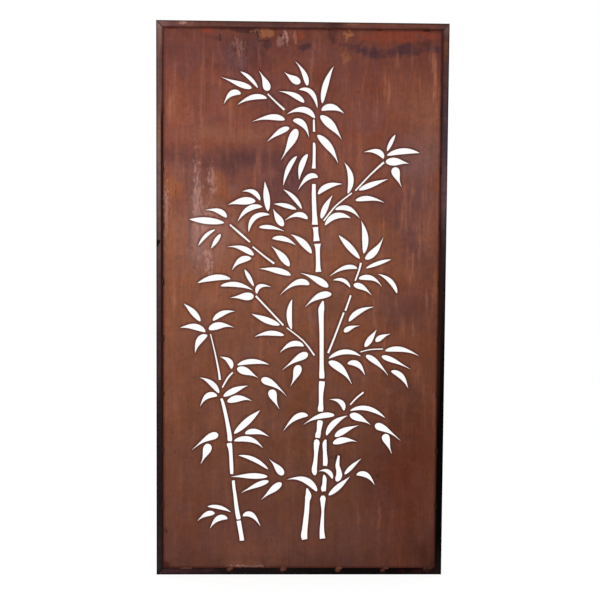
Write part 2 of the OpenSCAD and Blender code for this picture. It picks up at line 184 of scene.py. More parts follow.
class Graph:
    """Adds nodes to one node tree and joins their sockets."""

    def __init__(self, tree):
        self.tree = tree

    def node(self, kind, **settings):
        made = self.tree.nodes.new("ShaderNode" + kind)
        for name, value in settings.items():
            setattr(made, name, value)
        return made

    def noise(self, place, cell, detail, roughness, distortion=0.0):
        """Noise whose clouds are about as large as the cell: its value and its colour."""
        shrunk = self.vector("DIVIDE", place, cell)
        return self.fill(self.node("TexNoise"), Vector=shrunk, Scale=1.0, Detail=detail, Roughness=roughness,
                         Distortion=distortion).outputs

    def feed(self, socket, value):
        """Joins a socket to another, or sets its own value."""
        if isinstance(value, bpy.types.NodeSocket):
            self.tree.links.new(value, socket)
        elif socket.type == "RGBA":
            socket.default_value = (*tuple(value)[:3], 1)
        else:
            socket.default_value = value

    def fill(self, made, *values, **named):
        """Feeds a node's sockets, in their order and by their names."""
        for socket, value in zip(made.inputs, values):
            self.feed(socket, value)
        for name, value in named.items():
            self.feed(made.inputs[name], value)
        return made

    def math(self, operation, *values, clamp=False):
        return self.fill(self.node("Math", operation=operation, use_clamp=clamp), *values).outputs[0]

    def times(self, value, factor):
        return self.math("MULTIPLY", value, factor)

    def plus(self, value, other):
        return self.math("ADD", value, other)

    def minus(self, value, other):
        return self.math("SUBTRACT", value, other)

    def vector(self, operation, *values, output=0, **named):
        return self.fill(self.node("VectorMath", operation=operation), *values, **named).outputs[output]

    def scale(self, colour, factor):
        """A colour made lighter or darker by a factor."""
        return self.fill(self.node("HueSaturation"), Color=colour, Value=factor).outputs[0]

    def vary(self, colour, value, low, high):
        """A colour scaled from low to high as a value goes from 0 to 1."""
        return self.scale(colour, self.span(value, 0, 1, low, high))

    def mix(self, share, under, over, blend="MIX"):
        made = self.node("Mix", data_type="RGBA", blend_type=blend)
        self.feed(made.inputs[0], share)
        self.feed(made.inputs[6], under)
        self.feed(made.inputs[7], over)
        return made.outputs[2]

    def blend(self, share, under, over):
        """The same mix for plain numbers."""
        made = self.node("Mix", data_type="FLOAT")
        for socket, value in zip((made.inputs[0], made.inputs[2], made.inputs[3]), (share, under, over)):
            self.feed(socket, value)
        return made.outputs[0]

    def span(self, value, low, high, to_low=0.0, to_high=1.0, smooth=False):
        """Carries the stretch from low to high over to another stretch, and stops at its ends."""
        made = self.node("MapRange", interpolation_type="SMOOTHSTEP" if smooth else "LINEAR")
        return self.fill(made, value, low, high, to_low, to_high).outputs[0]

    def ramp(self, value, stops):
        """A row of colours along a value. Each stop is a place from 0 to 1 and a colour."""
        made = self.node("ValToRGB")
        elements = made.color_ramp.elements
        while len(elements) < len(stops):
            elements.new(1)
        for element, (place, colour) in zip(elements, stops):
            element.position = place
            element.color = (*colour, 1)
        self.feed(made.inputs[0], value)
        return made.outputs[0]

    def tint(self, colour, value, stops):
        """A colour multiplied by a row of factors along a value."""
        return self.mix(1.0, colour, self.ramp(value, stops), "MULTIPLY")

    def level(self, value, stops):
        """The same for plain numbers."""
        row = self.ramp(value, [(place, (number,) * 3) for place, number in stops])
        return self.fill(self.node("RGBToBW"), row).outputs[0]

    def use(self, group, **values):
        """Places a shared node group, and gives its only output or all of them."""
        made = self.node("Group", node_tree=GROUPS[group])
        self.fill(made, **{name.capitalize(): value for name, value in values.items()})
        return made.outputs[0] if len(made.outputs) == 1 else made.outputs


def new_group(name, inputs, outputs):
    """A node group with its sockets, and the two nodes that stand for them."""
    tree = bpy.data.node_groups.new(name, "ShaderNodeTree")
    for label, kind in inputs.items():
        tree.interface.new_socket(label, in_out="INPUT", socket_type="NodeSocket" + kind)
    for label, kind in outputs.items():
        tree.interface.new_socket(label, in_out="OUTPUT", socket_type="NodeSocket" + kind)
    graph = Graph(tree)
    given = tree.nodes.new("NodeGroupInput").outputs
    wanted = tree.nodes.new("NodeGroupOutput").inputs
    return graph, given, wanted


def patch_group():
    """A soft oval stain with a ragged rim, worn thin here and there."""
    graph, given, wanted = new_group(
        "Soft patch",
        {"Place": "Vector", "Middle": "Vector", "Across": "Vector", "Upward": "Vector",
         "Feather": "Float", "Ragged": "Float", "Breakup": "Float"},
        {"Mask": "Float"})
    aside = graph.vector("SUBTRACT", given["Place"], given["Middle"])
    across = graph.vector("DOT_PRODUCT", aside, given["Across"], output=1)
    upward = graph.vector("DOT_PRODUCT", aside, given["Upward"], output=1)
    square = graph.math("MULTIPLY_ADD", upward, upward, graph.times(across, across))
    torn = graph.math("MULTIPLY_ADD", given["Breakup"], given["Ragged"], graph.math("SQRT", square))
    inner = graph.minus(1.0, given["Feather"])
    whole = graph.span(torn, 1.0, inner, smooth=True)
    worn = graph.span(given["Breakup"], 0.45, -0.1, 0.55, 1.0)
    graph.feed(wanted["Mask"], graph.times(whole, worn))
    return graph.tree


def wander_group():
    """Carries each place a little aside, so that what is laid there gets a natural outline."""
    graph, given, wanted = new_group(
        "Wandering place", {"Place": "Vector", "Cell": "Float", "Reach": "Float"}, {"Place": "Vector"})
    noise = graph.noise(given["Place"], given["Cell"], detail=2.0, roughness=0.5)
    parts = graph.fill(graph.node("SeparateColor"), noise[1])
    whole = graph.fill(graph.node("CombineXYZ"), *parts.outputs)
    aside = graph.vector("SUBTRACT", whole.outputs[0], (0.5, 0.5, 0.5))
    graph.feed(wanted["Place"], graph.vector("ADD", given["Place"], graph.vector("SCALE", aside, Scale=given["Reach"])))
    return graph.tree


def run_group():
    """Marks left by water running down: noise drawn out along one axis."""
    graph, given, wanted = new_group(
        "Run marks", {"Place": "Vector", "Cell": "Vector", "Start": "Vector", "Detail": "Float"}, {"Value": "Float"})
    begun = graph.vector("ADD", given["Place"], given["Start"])
    noise = graph.noise(begun, given["Cell"], detail=given["Detail"], roughness=0.55)
    graph.feed(wanted["Value"], graph.span(noise[0], 0.28, 0.72))
    return graph.tree


def mottle_group():
    """Cloudy changes of tone that a rusted skin has at every size."""
    graph, given, wanted = new_group(
        "Mottle", {"Place": "Vector", "Cloud": "Float", "Start": "Vector"}, {"Value": "Float"})
    begun = graph.vector("ADD", given["Place"], given["Start"])
    noise = graph.noise(begun, given["Cloud"], detail=6.0, roughness=0.6, distortion=0.4)
    graph.feed(wanted["Value"], graph.span(noise[0], 0.3, 0.7))
    return graph.tree


def grain_group():
    """The skin of rust seen close: grit, shallow flakes and small pits of no one size."""
    graph, given, wanted = new_group(
        "Rust grain",
        {"Place": "Vector", "Grit": "Float", "Pit": "Float"},
        {"Tone": "Float", "Pits": "Float", "Height": "Float"})
    grit = graph.noise(given["Place"], given["Grit"], detail=5.0, roughness=0.7)
    dents = graph.noise(given["Place"], given["Pit"], detail=3.0, roughness=0.65, distortion=0.6)
    tone = graph.span(grit[0], 0.25, 0.75)
    pits = graph.span(dents[0], 0.38, 0.28, smooth=True)
    flakes = graph.span(dents[0], 0.54, 0.60, smooth=True)
    graph.feed(wanted["Tone"], tone)
    graph.feed(wanted["Pits"], pits)
    raised = graph.plus(tone, graph.times(flakes, 0.35))
    graph.feed(wanted["Height"], graph.minus(raised, graph.times(pits, 0.8)))
    return graph.tree


def rim_group():
    """How near a point lies to a sharp edge, read from how the rounded normal turns away there."""
    graph, given, wanted = new_group("Edge nearness", {"Radius": "Float"}, {"Mask": "Float"})
    rounded = graph.fill(graph.node("Bevel", samples=8), Radius=given["Radius"])
    true = graph.node("NewGeometry").outputs["True Normal"]
    turned = graph.vector("DOT_PRODUCT", rounded.outputs[0], true, output=1)
    graph.feed(wanted["Mask"], graph.math("SUBTRACT", 1.0, turned, clamp=True))
    return graph.tree


# Every shared effect, each built when the first finish is asked for
GROUP_MAKERS = {"patch": patch_group, "wander": wander_group, "runs": run_group, "mottle": mottle_group,
                "grain": grain_group, "rim": rim_group}
GROUPS = {}


# ---- finishes


def new_material(name, specular):
    """An empty material with one Principled BSDF, and the graph to fill it with."""
    material = bpy.data.materials.new(name)
    material.use_nodes = True
    graph = Graph(material.node_tree)
    shader = material.node_tree.nodes["Principled BSDF"]
    shader.inputs["Specular IOR Level"].default_value = specular
    return material, graph, shader


def object_place(graph):
    """Where a point lies on the screen, in metres, and the same with its depth taken out."""
    place = graph.node("TexCoord").outputs["Object"]
    across, depth, height = graph.fill(graph.node("SeparateXYZ"), place).outputs
    flat = graph.vector("MULTIPLY", place, (1, 0, 1))
    return place, flat, across, depth, height


def bump(graph, shader, layers):
    """Chained bumps: each layer is a height, its depth in metres and its strength."""
    normal = None
    for height, distance, strength in layers:
        made = graph.fill(graph.node("Bump"), Height=height, Distance=distance, Strength=strength)
        if normal is not None:
            graph.feed(made.inputs["Normal"], normal)
        normal = made.outputs[0]
    graph.feed(shader.inputs["Normal"], normal)


# A stain. x and z are its middle and wide and tall its half sizes, all in millimetres on the screen. Breakup names
# the value that tears its rim, and lean is in degrees, with the right end up.
Stain = namedtuple("Stain", "x z wide tall feather ragged breakup colour amount lean", defaults=(0,))

SHEET_STAINS = [
    # Broad changes of tone
    (-395, 1705, 90, 100, 1, 0.6, "cloud", "violet", 0.32),
    (-190, 1700, 160, 90, 1, 0.6, "wide", "tide", 0.44),
    (-212, 1662, 76, 70, 1, 0.6, "cloud", "violet", 0.55),
    (-405, 1520, 44, 110, 1, 0.9, "runs", "orange", 0.34),
    (-235, 1540, 66, 56, 0.7, 0.9, "cloud", "brown", 0.55),
    (-90, 1545, 170, 84, 1, 0.6, "wide", "tide", 0.52),
    (-260, 1440, 200, 34, 0.8, 0.9, "cloud", "clay", 0.55),
    (330, 1560, 110, 150, 1, 0.7, "runs", "clay", 0.32),
    (420, 1480, 100, 190, 1, 0.6, "runs", "clay", 0.62),
    (60, 1620, 90, 110, 1, 0.7, "cloud", "red", 0.3),
    (-80, 1742, 110, 46, 1, 0.8, "cloud", "red", 0.55),
    # Blooms and scale under the top rail, from left to right
    (-308, 1766, 26, 14, 0.5, 1, "fleck", "fire", 0.7, 4),
    (-282, 1745, 40, 9, 0.7, 0.9, "cloud", "dark", 0.28, 4),
    (-263, 1750, 4, 20, 0.6, 1, "fleck", "dark", 0.65, 8),
    (-205, 1775, 60, 11, 0.4, 0.9, "cloud", "dark", 0.75),
    (-156, 1774, 18, 8, 0.5, 1, "fleck", "clay", 0.75),
    (-204, 1724, 20, 32, 0.9, 1.8, "speck", "pale", 0.4, 4),
    (-214, 1716, 10, 18, 0.6, 1.4, "fleck", "dark", 0.4),
    (-200, 1672, 20, 34, 0.8, 1.2, "runs", "grey", 0.45),
    (-116, 1762, 30, 19, 0.35, 0.9, "fleck", "tan", 0.85),
    (-146, 1757, 5, 20, 0.5, 0.9, "fleck", "dark", 0.85, 20),
    (-122, 1738, 24, 5, 0.5, 0.9, "fleck", "dark", 0.85, -20),
    (-108, 1722, 34, 12, 0.6, 0.6, "cloud", "tide", 0.9),
    (-73, 1735, 9, 22, 0.7, 1, "runs", "pale", 0.4),
    (-72, 1757, 5, 8, 0.5, 1, "fleck", "dark", 0.6),
    (-58, 1752, 12, 30, 0.8, 1.4, "speck", "pale", 0.8),
    (-27, 1750, 7, 24, 0.4, 0.8, "runs", "clay", 0.8),
    (-8, 1758, 12, 22, 0.6, 0.8, "cloud", "fire", 0.6),
    (5, 1720, 34, 13, 0.6, 0.6, "cloud", "tide", 0.9),
    (94, 1762, 26, 34, 0.6, 0.8, "cloud", "dark", 0.45),
    (144, 1762, 20, 18, 0.5, 1.5, "fleck", "tan", 0.75),
    (138, 1690, 22, 30, 0.6, 1.5, "fleck", "tan", 0.4),
    (300, 1762, 155, 30, 0.5, 0.7, "cloud", "fire", 0.5),
    (225, 1710, 90, 25, 0.6, 0.5, "cloud", "tide", 0.95, -3),
    (345, 1712, 96, 24, 0.6, 0.5, "cloud", "tide", 0.95, 5),
    (392, 1736, 34, 18, 0.6, 0.6, "cloud", "dark", 0.5),
    (422, 1715, 28, 16, 0.6, 0.7, "cloud", "tide", 0.85, -12),
    (150, 1722, 42, 12, 0.6, 0.7, "cloud", "tide", 0.7, -6),
    (186, 1740, 6, 14, 0.5, 0.9, "fleck", "dark", 0.55, -10),
    (215, 1708, 46, 8, 0.6, 1, "cloud", "dark", 0.4),
    # The tide band at the left, with chalky runs through it and below it
    (-390, 1372, 120, 56, 0.8, 0.4, "wide", "tide", 0.62, -2),
    (-235, 1358, 150, 58, 0.8, 0.4, "wide", "tide", 0.68),
    (-95, 1356, 150, 48, 0.8, 0.4, "wide", "tide", 0.5, 2),
    (-325, 1325, 140, 90, 1, 0.5, "wide", "tide", 0.26),
    (-380, 1325, 90, 90, 1, 0.5, "wide", "grey", 0.26),
    (-70, 1300, 210, 150, 0.9, 0.5, "wide", "violet", 0.58),
    (-310, 1115, 150, 140, 1, 0.5, "wide", "pale", 0.34),
    (-345, 1230, 40, 190, 1, 0.6, "runs", "grey", 0.5),
    (-336, 1190, 22, 190, 1, 0.6, "fleck", "pale", 0.5),
    (-338, 1190, 20, 190, 0.9, 1.7, "speck", "pale", 0.68),
    (-288, 1285, 20, 70, 1, 1.2, "speck", "pale", 0.8),
    (-296, 1190, 34, 22, 0.9, 1.4, "speck", "pale", 0.75, -14),
    (-224, 1262, 20, 28, 0.9, 0.9, "fleck", "grey", 0.55),
    (-415, 1270, 38, 56, 0.6, 0.9, "cloud", "orange", 0.6),
    (-411, 1265, 6, 18, 0.5, 1.6, "fleck", "fire", 0.5),
    (-445, 1250, 5, 34, 0.6, 1.4, "fleck", "pale", 0.6),
    (-446, 1336, 4, 5, 0.3, 0.4, "fleck", "pale", 0.9),
    (-30, 1310, 80, 60, 0.9, 0.5, "cloud", "tide", 0.42),
    (-438, 1190, 14, 130, 0.9, 1.6, "speck", "pale", 0.6),
    (-225, 1690, 46, 62, 0.9, 2.2, "speck", "grey", 0.2),
    (-110, 1722, 180, 60, 1, 0.5, "wide", "tide", 0.4),
    (-265, 1270, 34, 60, 0.8, 0.9, "runs", "orange", 0.45),
    (-345, 1075, 32, 120, 0.8, 0.6, "runs", "grey", 0.55),
    (-314, 1142, 28, 34, 0.8, 0.8, "cloud", "pale", 0.62, 20),
    (-306, 1028, 18, 56, 0.8, 1.4, "speck", "pale", 0.9, 4),
    (-196, 1140, 18, 60, 0.9, 0.8, "cloud", "pale", 0.42, 4),
    # Rust down the left edge, which dries last
    (-420, 1080, 34, 120, 0.9, 0.9, "runs", "orange", 0.42),
    (-430, 820, 26, 130, 1, 0.9, "runs", "brown", 0.45),
    (-415, 960, 12, 60, 0.8, 1, "runs", "orange", 0.4),
    (-415, 570, 90, 340, 1, 0.6, "runs", "orange", 0.12),
    (-410, 80, 120, 100, 1, 0.5, "wide", "tide", 0.26),
    # The right side: rust tones, with painted shade darkening it lower down
    (360, 1360, 150, 110, 1, 0.5, "wide", "grey", 0.55),
    (330, 1220, 150, 90, 1, 0.5, "wide", "violet", 0.6),
    (400, 1190, 80, 180, 1, 0.5, "cloud", "grey", 0.22),
    (350, 1100, 70, 110, 1, 0.6, "cloud", "violet", 0.55),
    (400, 1050, 90, 110, 1, 0.5, "wide", "tide", 0.34),
    (345, 895, 250, 130, 1, 0.5, "wide", "tide", 0.5),
    (140, 870, 160, 110, 1, 0.5, "wide", "sheltered", 0.2),
    (100, 410, 70, 110, 1, 0.5, "cloud", "tide", 0.24),
    (268, 1140, 7, 54, 0.8, 0.8, "runs", "tan", 0.45),
    (413, 1110, 24, 80, 0.7, 0.9, "runs", "clay", 0.38, 8),
    (436, 960, 12, 90, 0.9, 0.8, "runs", "orange", 0.35),
    (110, 1130, 40, 44, 0.9, 0.9, "cloud", "clay", 0.5),
    (190, 1090, 90, 100, 1, 0.6, "cloud", "clay", 0.42),
    # Painted shade as well as deeper rust: a large darker red-brown over the sheet's lower right
    (350, 300, 190, 380, 1, 0.4, "wide", "deep", 0.62),
    (330, 590, 130, 120, 1, 0.6, "cloud", "sheltered", 0.2),
    (118, 392, 30, 12, 0.7, 1.3, "fleck", "dark", 0.55),
    # Pale traces and damp marks low down, painted shade at the lower right, and darker bottom corners
    (-210, 560, 120, 440, 1, 0.5, "wide", "clay", 0.26),
    (262, 190, 7, 110, 1, 0.7, "runs", "clay", 0.34),
    (194, 175, 8, 64, 1, 0.7, "runs", "clay", 0.3),
    (250, 325, 12, 9, 0.7, 1.2, "fleck", "dark", 0.3),
    (-440, 146, 6, 12, 0.6, 0.8, "fleck", "dark", 0.55),
    (-160, 80, 170, 76, 1, 0.5, "cloud", "clay", 0.3),
    (-165, 36, 110, 18, 0.9, 0.6, "cloud", "clay", 0.34),
    (-172, 25, 70, 6, 0.6, 1, "speck", "pale", 0.7),
    (400, 75, 150, 110, 1, 0.5, "wide", "sheltered", 0.5),
    (-450, 20, 26, 26, 0.4, 0.5, "cloud", "soot", 0.85),
    (450, 20, 30, 30, 0.4, 0.5, "cloud", "soot", 0.92),
]

TUBE_STAINS = [
    (-384, 1794, 15, 8, 0.5, 1, "fleck", "pale", 0.75),
    (155, 1794, 28, 7, 0.4, 0.8, "cloud", "clay", 0.6),
    (95, 1790, 34, 10, 0.7, 0.9, "cloud", "dark", 0.35),
    (20, 1790, 34, 8, 0.8, 0.9, "cloud", "violet", 0.4),
    (-462, 1455, 14, 44, 0.8, 1, "runs", "tan", 0.3),
    (-469, 1090, 10, 12, 0.35, 0.4, "fleck", "black", 0.95),
    (-462, 1240, 10, 40, 0.8, 1.4, "fleck", "grey", 0.4),
    (-462, 690, 12, 70, 0.9, 1.2, "runs", "tide", 0.35),
    (460, 1248, 12, 34, 0.6, 1.2, "fleck", "violet", 0.55),
    (460, 1720, 10, 50, 0.9, 1, "runs", "brown", 0.35),
    (-395, 10, 70, 12, 0.8, 1, "cloud", "tide", 0.35),
    (-300, 14, 26, 8, 0.7, 1.2, "cloud", "tide", 0.35),
    (380, 12, 60, 10, 0.9, 1.2, "cloud", "soot", 0.3),
    (-231, 17, 12, 9, 0.8, 0.8, "fleck", "clay", 0.42),
    (-55, 17, 13, 9, 0.8, 0.8, "fleck", "clay", 0.42),
    (125, 17, 12, 9, 0.8, 0.8, "fleck", "clay", 0.36),
    (276, 17, 11, 9, 0.8, 0.8, "fleck", "clay", 0.3),
    (417, 17, 14, 9, 0.8, 0.8, "fleck", "red", 0.35),
]

# The sheet's tone from its foot to its top, in millimetres above the ground
SHEET_TONES = [
    (20, 94, 56, 45), (110, 108, 65, 52), (400, 110, 67, 50), (700, 122, 74, 55),
    (1000, 138, 86, 64), (1250, 134, 80, 63), (1500, 130, 74, 61), (1780, 110, 61, 51)]


def up_the_screen(stops):
    """Stops placed in millimetres above the ground, made shares of the screen's height."""
    return [(place * MM / SCREEN_HEIGHT, value) for place, value in stops]


def painted(stops):
    """Stops of a place and a screen colour, made ready for a ramp."""
    return [(place, paint(*colour)) for place, *colour in stops]


def lay_stains(graph, rust, colour, place, rows, **values):
    """Stains laid over a colour in their order. The values, moved to lie about 0, tear the stains' rims."""
    breakups = {name: graph.minus(value, 0.5) for name, value in values.items()}
    for row in rows:
        stain = Stain(*row)
        lean = math.radians(stain.lean)
        across = Vector((math.cos(lean), 0, math.sin(lean))) / (stain.wide * MM)
        upward = Vector((-math.sin(lean), 0, math.cos(lean))) / (stain.tall * MM)
        mask = graph.use(
            "patch", place=place, middle=(stain.x * MM, 0, stain.z * MM), across=across, upward=upward,
            feather=stain.feather, ragged=stain.ragged, breakup=breakups[stain.breakup])
        colour = graph.mix(graph.times(mask, stain.amount), colour, getattr(rust, stain.colour))
    return colour


def sheet_finish(rust):
    """Rust on the cut sheet: tones by height with painted light and shade across, stains laid over them in order, then
    runs, mottle, painted shade along the tubes and burnt cut edges.
    """
    material, graph, shader = new_material("rusted_sheet_steel", specular=0.15)
    place, flat, across, _, height = object_place(graph)
    wide_cloud = graph.use("mottle", place=flat, cloud=0.2, start=(3.3, 0, 1.9))
    hue_cloud = graph.use("mottle", place=flat, cloud=0.09, start=(7.7, 0, 5.2))
    cloud = graph.use("mottle", place=flat, cloud=0.05, start=(3.1, 0, 7.7))
    fleck = graph.use("mottle", place=flat, cloud=0.014, start=(1.3, 0, 4.9))
    speck = graph.use("runs", place=flat, cell=(0.007, 1, 0.018), start=(6.6, 0, 2.8), detail=3.0)
    broad_runs = graph.use("runs", place=flat, cell=(0.045, 1, 0.42), start=(5.2, 0, 0.7), detail=2.0)
    runs = graph.use("runs", place=flat, cell=(0.022, 1, 0.17), start=(1.7, 0, 3.3), detail=3.0)
    fine_runs = graph.use("runs", place=flat, cell=(0.006, 1, 0.08), start=(2.9, 0, 6.1), detail=2.0)
    grain = graph.use("grain", place=place, grit=0.0022, pit=0.009)

    share_up = graph.math("DIVIDE", height, SCREEN_HEIGHT)
    wavy_up = graph.plus(share_up, graph.span(wide_cloud, 0, 1, -0.025, 0.025))
    colour = graph.ramp(wavy_up, up_the_screen(painted(SHEET_TONES)))
    # Painted light and shade as well as a change of rust: the sheet is lighter at its left and darker and redder
    # towards its right
    to_right = graph.span(across, SHEET_LOW.x, SHEET_HIGH.x)
    to_right = graph.plus(to_right, graph.span(wide_cloud, 0, 1, -0.08, 0.08))
    colour = graph.tint(colour, to_right, [
        (0.0, (1.14, 1.08, 1.06)), (0.35, (1.05, 1.04, 1.04)), (0.6, (1, 1, 1)), (1.0, (0.86, 0.74, 0.68))])

    # Everything is livelier near the top, where water has run, than low down
    life = graph.level(share_up, up_the_screen([(0, 0.95), (600, 1.0), (950, 1.1), (1400, 1.2), (1780, 1.3)]))
    for value, low, high in ((hue_cloud, (0.97, 1.07, 1.30), (1.02, 0.92, 0.74)),
                             (fleck, (0.97, 1.04, 1.18), (1.03, 0.96, 0.83))):
        colour = graph.mix(life, colour, graph.tint(colour, value, [(0.0, low), (0.5, (1, 1, 1)), (1.0, high)]))

    strayed = graph.use("wander", place=flat, cell=0.09, reach=0.03)
    strayed = graph.use("wander", place=strayed, cell=0.022, reach=0.02)
    colour = lay_stains(graph, rust, colour, strayed, SHEET_STAINS,
                        wide=wide_cloud, cloud=cloud, fleck=fleck, speck=speck, runs=runs)

    # Runs show most near the top and at both edges, and come in bunches
    near_edge = graph.span(graph.math("ABSOLUTE", across), 0.24, 0.43)
    bunches = graph.span(broad_runs, 0.35, 0.75, 0.25, 1.0, smooth=True)
    run_zone = graph.times(graph.level(share_up, up_the_screen(
        [(0, 0.1), (600, 0.3), (900, 0.8), (1250, 0.7), (1420, 0.6), (1560, 1.0), (1700, 0.8), (1740, 0.3)])),
        graph.times(graph.blend(near_edge, 0.6, 1.0), bunches))
    light_runs = graph.times(graph.span(runs, 0.5, 0.85, smooth=True), run_zone)
    colour = graph.mix(graph.times(light_runs, 0.8), colour, rust.dried)
    dark_runs = graph.times(graph.span(runs, 0.45, 0.1, smooth=True), run_zone)
    colour = graph.mix(graph.times(dark_runs, 0.55), colour, rust.red)

    tone = 1.0
    for value, swing in ((broad_runs, 0.08), (wide_cloud, 0.09), (cloud, 0.11), (fleck, 0.11), (fine_runs, 0.08)):
        tone = graph.times(tone, graph.span(value, 0, 1, 1 - swing, 1 + swing))
    colour = graph.scale(colour, graph.blend(life, 1.0, tone))
    colour = graph.vary(colour, grain["Tone"], 0.84, 1.16)
    colour = graph.mix(graph.times(grain["Pits"], 0.4), colour, rust.dark)

    # Painted shade along the stiles and the bottom rail, where the sheet lies back in the tubes' recess, widest down
    # the right side
    ragged = graph.span(cloud, 0, 1, -2 * MM, 2 * MM)
    damp = 0.0
    for start, sign, edge, reach, strength in (
            (across, 1, SHEET_LOW.x, 3 * MM, 0.4), (across, -1, SHEET_HIGH.x, 9 * MM, 0.9),
            (height, 1, SHEET_LOW.z, 4.5 * MM, 0.75)):
        away = graph.plus(graph.times(graph.minus(start, edge), sign), ragged)
        damp = graph.math("MAXIMUM", damp, graph.span(away, reach, 0.5 * MM, 0.0, strength, smooth=True))
    colour = graph.mix(damp, colour, rust.sheltered)

    # Burnt oxide along each cut, and through the sheet's thickness
    facing = graph.node("NewGeometry").outputs["True Normal"]
    facing_depth = graph.fill(graph.node("SeparateXYZ"), facing).outputs["Y"]
    wall = graph.span(graph.math("ABSOLUTE", facing_depth), 0.7, 0.4)
    near_cut = graph.use("rim", radius=11.5 * MM)
    burnt = graph.span(near_cut, 0.0, 0.01)
    burnt = graph.times(burnt, graph.span(cloud, 0, 1, 0.7, 1.0))
    colour = graph.mix(burnt, colour, rust.soot)
    colour = graph.mix(graph.times(wall, 0.7), colour, rust.soot)
    graph.feed(shader.inputs["Base Color"], colour)

    rough = graph.span(grain["Tone"], 0, 1, 0.68, 0.9)
    graph.feed(shader.inputs["Roughness"], graph.minus(rough, graph.times(burnt, 0.12)))
    bump(graph, shader, [
        (wide_cloud, 1.5 * MM, 0.15), (cloud, 0.5 * MM, 0.35), (fine_runs, 0.12 * MM, 0.3),
        (grain["Height"], 0.25 * MM, 0.6)])
    return material


# Each member's screen colours, from its foot or its left end at 0 to its other end at 1. They hold painted light and
# shade as well as scale and rust: the frame goes near black towards the ground and down the right stile, and is
# lightest at the top and the upper left.
MEMBER_TONES = {
    "frame_stile_left": [
        (0, 54, 43, 44), (0.12, 38, 29, 31), (0.3, 45, 33, 35), (0.42, 72, 50, 51),
        (0.54, 82, 57, 59), (0.64, 108, 82, 76), (0.74, 120, 92, 87), (0.79, 143, 104, 88),
        (0.86, 112, 76, 70), (0.95, 112, 77, 70), (1, 136, 102, 97)],
    "frame_stile_right": [
        (0, 32, 22, 22), (0.07, 4, 3, 2), (0.33, 5, 4, 3), (0.45, 26, 18, 17),
        (0.6, 49, 35, 38), (0.69, 104, 76, 76), (0.8, 72, 57, 63), (0.88, 84, 57, 57),
        (0.95, 90, 58, 52), (1, 124, 96, 92)],
    "frame_rail_top": [
        (0, 136, 102, 97), (0.05, 116, 74, 71), (0.11, 127, 82, 73), (0.16, 102, 66, 59),
        (0.4, 94, 60, 53), (0.62, 96, 62, 52), (0.68, 114, 69, 57), (0.9, 105, 63, 52),
        (1, 96, 68, 64)],
    "frame_rail_bottom": [
        (0, 64, 43, 43), (0.15, 52, 34, 35), (0.25, 32, 22, 23), (0.5, 23, 18, 17),
        (0.7, 14, 10, 9), (0.88, 14, 6, 7), (1, 36, 21, 20)],
}


# How much of each stile's inner side is darkened with painted shade, in millimetres above the ground
INNER_SIDE_SHADE = {
    "frame_stile_left": [(0, 0.5), (350, 0.8), (750, 1.0), (1480, 1.0), (1560, 0.3), (1800, 0.0)],
    "frame_stile_right": [(0, 0.03), (480, 0.03), (700, 0.8), (1100, 0.8), (1250, 0.2), (1480, 0.4), (1800, 0.0)],
}


def tube_finish(rust, node):
    """Mill scale going over to rust on one member of the frame, drawn out along the tube, with painted light and shade
    in its tones.
    """
    material, graph, shader = new_material(node.replace("frame", "rusted"), specular=0.02)
    place, flat, across, depth, height = object_place(graph)
    upright = "stile" in node
    cell = (0.008, 0.011, 0.12) if upright else (0.12, 0.011, 0.008)
    runs = graph.use("runs", place=place, cell=cell, start=(2.4, 5.1, 0.3), detail=3.0)
    cloud = graph.use("mottle", place=place, cloud=0.04, start=(4.4, 0, 2.7))
    fleck = graph.use("mottle", place=place, cloud=0.011, start=(1.3, 0, 4.9))
    wide_cloud = graph.use("mottle", place=place, cloud=0.15, start=(6.1, 0, 9.2))
    grain = graph.use("grain", place=place, grit=0.0016, pit=0.006)
    share = graph.math("DIVIDE", height, SCREEN_HEIGHT) if upright else graph.span(across, -HALF_WIDTH, HALF_WIDTH)
    share = graph.plus(share, graph.span(wide_cloud, 0, 1, -0.02, 0.02))
    colour = graph.ramp(share, painted(MEMBER_TONES[node]))
    strayed = graph.use("wander", place=flat, cell=0.03, reach=0.016)
    colour = lay_stains(graph, rust, colour, strayed, TUBE_STAINS, cloud=cloud, fleck=fleck, runs=runs)
    colour = graph.tint(colour, cloud, [(0.0, (0.92, 0.96, 1.06)), (0.5, (1, 1, 1)), (1.0, (1.10, 1.0, 0.90))])
    for value, swing in ((runs, 0.16), (cloud, 0.16), (fleck, 0.14), (wide_cloud, 0.12), (grain["Tone"], 0.18)):
        colour = graph.vary(colour, value, 1 - swing, 1 + swing)
    colour = graph.vary(colour, grain["Pits"], 1, 0.6)

    # Painted shade: the outer rounded corner is darkened, and a stile's inner side beside the sheet gets a dark
    # red-brown shade
    to_side = graph.minus(HALF_WIDTH, graph.math("ABSOLUTE", across))
    to_end = graph.math("MINIMUM", height, graph.minus(SCREEN_HEIGHT, height))
    to_outside = graph.math("MINIMUM", to_side, to_end)
    worn = graph.span(to_outside, 0.5 * MM, 6.5 * MM, 0.25, 1.0, smooth=True)
    on_side = graph.span(graph.math("ABSOLUTE", depth), 8 * MM, 4 * MM, 0.25, 0.9, smooth=True)
    colour = graph.scale(colour, graph.math("MAXIMUM", worn, on_side))
    if upright:
        inner = graph.span(to_side, TUBE_SIDE - 8 * MM, TUBE_SIDE - 3 * MM, smooth=True)
        share_up = graph.math("DIVIDE", height, SCREEN_HEIGHT)
        inner = graph.times(inner, graph.level(share_up, up_the_screen(INNER_SIDE_SHADE[node])))
        colour = graph.mix(inner, colour, rust.sheltered)
    graph.feed(shader.inputs["Base Color"], colour)
    graph.feed(shader.inputs["Roughness"], graph.span(grain["Tone"], 0, 1, 0.6, 0.85))
    bump(graph, shader, [(cloud, 0.4 * MM, 0.3), (runs, 0.12 * MM, 0.3), (grain["Height"], 0.2 * MM, 0.6)])
    return material


